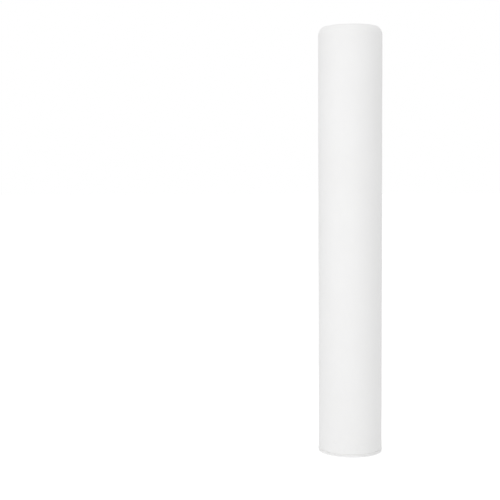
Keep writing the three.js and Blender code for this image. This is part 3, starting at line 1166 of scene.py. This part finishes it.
def make_hinge_sheet():
    """The flap's root in one sheet: the margin that is sewn down, and the web that crosses the slit."""
    hinge_angle = (strip.end + web.start) / 2
    fine_start = hinge_angle - degrees_of(FLAP_BEND_BEFORE, strip.outer)
    fine_end = hinge_angle + degrees_of(FLAP_BEND_AFTER, strip.outer)
    step = degrees_of(SHEET_STEP, strip.outer)
    angles = joined(
        spaced(strip.start, fine_start, step),
        spaced(fine_start, fine_end, step / 3),
        spaced(fine_end, web.end, step),
    )
    heights = spaced(flap.bottom, flap.top, SHEET_ROW)
    rings = []
    for angle in angles:
        inner = web_radius(angle)
        from_start = arc(angle - strip.start, strip.outer)
        outer = inner + WEB_THICKNESS - GROOVE_DEPTH * groove(from_start, STRIP_ROW_INSETS)
        face = [place(angle, outer, height) for height in heights]
        back = [place(angle, inner, height) for height in heights]
        rings.append(face + back[::-1])
    return swept("flap_hinge_sheet", rings, vinyl, angles, strip.outer)


def tape_columns(node):
    """Angles across a tape: its two woven edges, and the pile or hooks between them."""
    edge = degrees_of(TAPE_SELVEDGE, node.inner)
    brim = degrees_of(TAPE_SELVEDGE * 1.25, node.inner)
    step = degrees_of(PILE_STEP, node.inner)
    middle = spaced(node.start + brim, node.end - brim, step)
    return [node.start, node.start + edge, *middle, node.end - edge, node.end]


def make_loop_strip():
    """The soft half of the closure: a woven backing with an uneven pile of loops."""
    angles = tape_columns(loops)
    heights = spaced(loops.bottom, loops.top, PILE_STEP)
    rings = []
    for column, angle in enumerate(angles):
        piled = 2 <= column <= len(angles) - 3
        face, back = [], []
        for row, height in enumerate(heights):
            radius = loops.inner + TAPE_BACKING
            if piled and 1 < row < len(heights) - 2:
                tuft = full_noise(place(angle, loops.outer, height) * TUFT_SCALE, TUFT_GAIN)
                radius = loops.outer - PILE_NAP * (0.5 + 0.5 * tuft)
            face.append(place(angle, radius, height))
            back.append(place(angle, loops.inner, height))
        rings.append(face + back[::-1])
    return swept("loop_strip", rings, loop_nap, angles, loops.outer)


def hook(points, faces, root, out, up, height):
    """Adds one moulded hook: a flat stem that bends over at its tip."""
    side = out.cross(up)
    first = len(points)
    width, depth = HOOK_WIDTH / 2, HOOK_WIDTH / 2.6
    for rise, lean, girth in HOOK_SHAPE:
        centre = root + out * (height * rise) + up * (height * lean)
        for across, along_up in ((-1, -1), (1, -1), (1, 1), (-1, 1)):
            points.append(centre + side * (across * width * girth) + up * (along_up * depth * girth))
    rise, lean = HOOK_TIP
    points.append(root + out * (height * rise) + up * (height * lean))
    for level in (0, 4):
        here = first + level
        for corner in range(4):
            after = (corner + 1) % 4
            faces.append((here + corner, here + after, here + 4 + after, here + 4 + corner))
    for corner in range(4):
        faces.append((first + 8 + corner, first + 8 + (corner + 1) % 4, first + 12))
    faces.append((first + 3, first + 2, first + 1, first))


def make_hook_strip():
    """The hooked half of the closure: a woven backing with rows of moulded hooks that face the loops."""
    angles = tape_columns(hooks)
    heights = spaced(hooks.bottom, hooks.top, TAPE_BACK_ROW)
    backing_face = hooks.outer - TAPE_BACKING
    rings = []
    for angle in angles:
        back = [place(angle, hooks.outer, height) for height in heights]
        face = [place(angle, backing_face, height) for height in heights]
        rings.append(back + face[::-1])
    points, numbered, surface = sweep(rings, angles, hooks.outer, ladder=True)
    faces = [face for _, face in numbered]
    reach = backing_face - hooks.inner
    rows = spaced(hooks.bottom + HOOK_PITCH, hooks.top - HOOK_PITCH, HOOK_PITCH)
    inset = degrees_of(TAPE_SELVEDGE + HOOK_WIDTH, hooks.outer)
    lines = spaced(hooks.start + inset, hooks.end - inset, degrees_of(HOOK_PITCH, hooks.outer))
    for number, angle in enumerate(lines):
        lean = Vector((0, 0, 1 if number % 2 else -1))
        for height in rows:
            hook(points, faces, place(angle, backing_face, height), -outward(angle), lean, reach)
            surface += [(arc(angle, hooks.outer), height)] * (len(points) - len(surface))
    piece = mesh_from("hook_strip", points, faces, hook_nap, surface)
    turn_out(piece)
    return piece


# The pieces, and the bodies that they ride on


def bend_wall(piece):
    """Bakes the placement of a layer of the wall into its mesh."""
    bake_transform(piece)


def settle(piece, body=None, nodes=()):
    """Hides the CAD nodes that a piece stands for, and puts the piece on the body that carries it, or
    without one bakes its placement into its mesh.
    """
    if nodes:
        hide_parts(*nodes)
    if body:
        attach(piece, body)
    else:
        bend_wall(piece)
    return piece


def settle_wall(pieces, node):
    left, right = pieces
    settle(left, "sleeve", [node])
    settle(right, None, [node, f"{node}_swing"])
    return pieces


for part in settle_wall(make_cover(), "outer_cover"):
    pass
bore_linings = settle_wall(make_lining(), "inner_lining")
base_rings = settle_wall(make_base(), "bottom_panel")
settle_wall(make_piping(), "bottom_piping")

half_joint = joint_edge - FOAM_SEAM
foam_left = make_foam("foam_left", -foam.end, -joint_edge)
foam_front = make_foam("foam_front", half_joint - FOAM_SEAM, FOAM_SEAM - half_joint)
foam_right = make_foam("foam_right", joint_edge, foam.end)
settle(foam_left, "sleeve", ["foam_core_left"])
settle(foam_front, None, ["foam_core_front"])
settle(foam_right, None, ["foam_core_right"])
for name, side, body in (("left", -1, "sleeve"), ("right", 1, "swinging_third")):
    piece = settle(make_facing(f"facing_{name}", side), body, [f"slit_facing_{name}"])

# The flap's root in one sheet, with its placement baked into its mesh
hinge_sheet = make_hinge_sheet()
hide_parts("flap_seam_strip", "flap_web")
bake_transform(hinge_sheet)
flap_panel = settle(make_flap(), "flap", ["closure_flap"])
binding = settle(make_binding(), "flap", ["flap_binding"])
settle(make_hook_strip(), "flap", ["hook_tape"])
settle(make_loop_strip(), "sleeve", ["loop_tape"])

# Stitching
flap_outer_places = []
for distance in flap_rows():
    lap = distance in LAP_ROW_INSETS
    low = (flap.bottom if lap else loops.bottom) + TAPE_ROW_INSET
    high = (flap.top if lap else loops.top) - TAPE_ROW_INSET
    flap_outer_places += upright_row(flap_angle(distance), flap.outer - GROOVE_DEPTH, low, high)
row_start, row_end = loops.start + ROW_END_MARGIN, loops.end - ROW_END_MARGIN
for height in (loops.bottom + TAPE_ROW_INSET, loops.top - TAPE_ROW_INSET):
    flap_outer_places += level_row(height, flap.outer, row_start, row_end, lift=flap_lift(height))
edge_row = binding_path(BINDING_ROW_INSET)
flap_outer_places += path_stitches(edge_row, flap.outer + SEAM_GAP + BINDING_THICKNESS, 1)
settle(make_stitches("flap_stitching", flap_outer_places), "flap")

tape_inset = degrees_of(TAPE_ROW_INSET, loops.inner)
tape_rows = [loops.start + tape_inset, loops.end - tape_inset]
tape_low, tape_high = hooks.bottom + TAPE_ROW_MARGIN, hooks.top - TAPE_ROW_MARGIN
flap_inner_places = path_stitches(edge_row, flap_inner - SEAM_GAP - BINDING_THICKNESS, -1)
for spot in tape_rows:
    flap_inner_places += upright_row(spot, hooks.outer - TAPE_BACKING, tape_low, tape_high, -1)
settle(make_stitches("flap_inside_stitching", flap_inner_places), "flap")

slit_inset = degrees_of(SLIT_ROW_INSET, cover.outer)
slit_low, slit_high = SLIT_ROW_START, cover.top - SHOULDER_HEIGHT
loop_places = []
for spot in tape_rows:
    loop_places += upright_row(spot, loops.inner + TAPE_BACKING, tape_low, tape_high)
loop_places += upright_row(-slit_edge + slit_inset, cover.outer, slit_low, slit_high)
settle(make_stitches("loop_strip_stitching", loop_places), "sleeve")

strip_places = []
for inset in STRIP_ROW_INSETS:
    spot = strip.start + degrees_of(inset, strip.outer)
    strip_places += upright_row(spot, strip.outer - GROOVE_DEPTH, flap.bottom, flap.top)
strip_places += upright_row(slit_edge - slit_inset, cover.outer, slit_low, slit_high)
settle(make_stitches("flap_seam_stitching", strip_places), "swinging_third")

hem_height = cover.top - SKIRT_LENGTH + HEM_ROW_RISE
hem_left = level_row(hem_height, cover.inner, -slit_edge + ROW_END_MARGIN, SPLIT_ANGLE, -1)
hem_right = level_row(hem_height, cover.inner, SPLIT_ANGLE, slit_edge - ROW_END_MARGIN, -1)
settle(make_stitches("skirt_stitching_left", hem_left), "sleeve")
settle(make_stitches("skirt_stitching_right", hem_right), None)


# Camera, light and ground


def make_camera():
    yaw, pitch, roll = (math.radians(turn) for turn in (CAMERA_YAW, CAMERA_PITCH, CAMERA_ROLL))
    forward = Vector((math.sin(yaw) * math.cos(pitch), math.cos(yaw) * math.cos(pitch), -math.sin(pitch)))
    level = Vector((math.cos(yaw), -math.sin(yaw), 0))
    upright = level.cross(forward)
    right = level * math.cos(roll) + upright * math.sin(roll)
    up = upright * math.cos(roll) - level * math.sin(roll)
    data = bpy.data.cameras.new("photo_camera")
    data.sensor_width = SENSOR_WIDTH
    data.lens = LENS
    camera = add_object("photo_camera", data)
    turned = Matrix((right, up, -forward)).transposed().to_4x4()
    camera.matrix_world = Matrix.Translation((0, -CAMERA_DISTANCE, CAMERA_HEIGHT)) @ turned
    bpy.context.scene.camera = camera


def make_lamp(name, angle, distance, height, size, power):
    """A soft square lamp, turned to the pad's middle."""
    data = bpy.data.lights.new(name, "AREA")
    data.shape = "SQUARE"
    data.size = size
    data.energy = power
    lamp = add_object(name, data)
    lamp.location = place(angle, distance, height)
    lamp.rotation_mode = "QUATERNION"
    lamp.rotation_quaternion = (Vector((0, 0, LAMP_AIM)) - lamp.location).to_track_quat("-Z", "Y")


def seen_or_lit(tree, lit, seen):
    """One shader for the camera's own rays and for those that a shiny or clear surface passes on, and
    another for the light on everything."""
    path = add(tree, "ShaderNodeLightPath")
    value = path.outputs["Is Camera Ray"]
    for name in ("Is Glossy Ray", "Is Transmission Ray"):
        value = maths(tree, "MAXIMUM", value, path.outputs[name])
    mix = add(tree, "ShaderNodeMixShader")
    for socket, source in zip(mix.inputs, (value, lit.outputs[0], seen.outputs[0])):
        wire(tree, socket, source)
    return mix.outputs[0]


def make_world():
    """White to the camera, and an even soft light on the object."""
    world = bpy.data.worlds.new("studio")
    bpy.context.scene.world = world
    world.use_nodes = True
    tree = world.node_tree
    tree.nodes.clear()
    light = add(tree, "ShaderNodeBackground", {"Color": grey(1), "Strength": WORLD_LEVEL})
    backdrop = add(tree, "ShaderNodeBackground", {"Color": grey(1), "Strength": 1})
    add(tree, "ShaderNodeOutputWorld", {"Surface": seen_or_lit(tree, light, backdrop)})


def make_ground():
    """A white floor that keeps the pad's soft shadow. Its glow is seen, also in reflections, and lights
    nothing."""
    material, tree = new_material("studio_floor")
    tree.nodes.clear()
    paint = add(tree, "ShaderNodeBsdfDiffuse", {"Color": grey(GROUND_WHITE)})
    glow = add(tree, "ShaderNodeEmission", {"Strength": GROUND_GLOW})
    both = add(tree, "ShaderNodeAddShader")
    for socket, source in zip(both.inputs, (paint, glow)):
        wire(tree, socket, source.outputs[0])
    add(tree, "ShaderNodeOutputMaterial", {"Surface": seen_or_lit(tree, paint, both)})
    half = GROUND_HALF_SIZE
    corners = [(-half, -half, 0), (half, -half, 0), (half, half, 0), (-half, half, 0)]
    floor = mesh_from("studio_floor", corners, [(0, 1, 2, 3)], material)


make_camera()
for name, settings in LAMPS.items():
    make_lamp(name, *settings)
make_world()
make_ground()
bpy.context.scene.view_settings.view_transform = "Standard"
